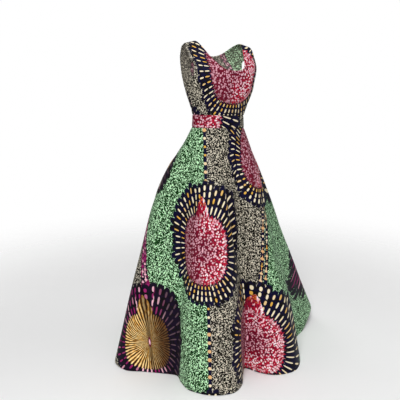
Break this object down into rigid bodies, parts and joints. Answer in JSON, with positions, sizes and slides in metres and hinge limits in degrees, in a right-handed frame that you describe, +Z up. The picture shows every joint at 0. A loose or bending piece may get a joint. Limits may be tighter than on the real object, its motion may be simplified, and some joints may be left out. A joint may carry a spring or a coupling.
{
  "type": "batik maxi dress",
  "caption": "Sleeveless floor-length cotton dress: fitted bodice with wide straps and a scoop neck, inset waistband, full flared skirt, concealed back zip.",
  "frame": {"origin": "midway between the tops of the two straps, where the wearer's shoulders carry the dress", "axes": "+Z up, the front of the dress faces -Y and the wearer's left is +X"},
  "size_m": [1.1262, 0.8997, 1.4599],
  "materials": {
    "bodice_cotton": "printed plain weave, matt with a faint wax glaze",
    "waistband_cotton": "printed plain weave, matt with a faint wax glaze",
    "skirt_cotton": "printed plain weave, matt with a faint wax glaze",
    "zip_metal": "darkened, satin"
  },
  "bodies": {
    "dress": {"bodice_front": "bodice_cotton", "bodice_back_left": "bodice_cotton", "bodice_back_right": "bodice_cotton", "waistband_front": "waistband_cotton", "waistband_back_left": "waistband_cotton", "waistband_back_right": "waistband_cotton", "skirt_front": "skirt_cotton", "skirt_back_left": "skirt_cotton", "skirt_back_right": "skirt_cotton", "zip_slider": "zip_metal"},
    "zip_pull": {"zip_pull": "zip_metal"}
  },
  "joints": [
    {"name": "zip_pull_hinge", "type": "hinge", "parent": "dress", "child": "zip_pull", "pos_m": [0, 0.09592, -0.07161], "axis": [1, 0, 0], "range_deg": [0, 150]}
  ]
}
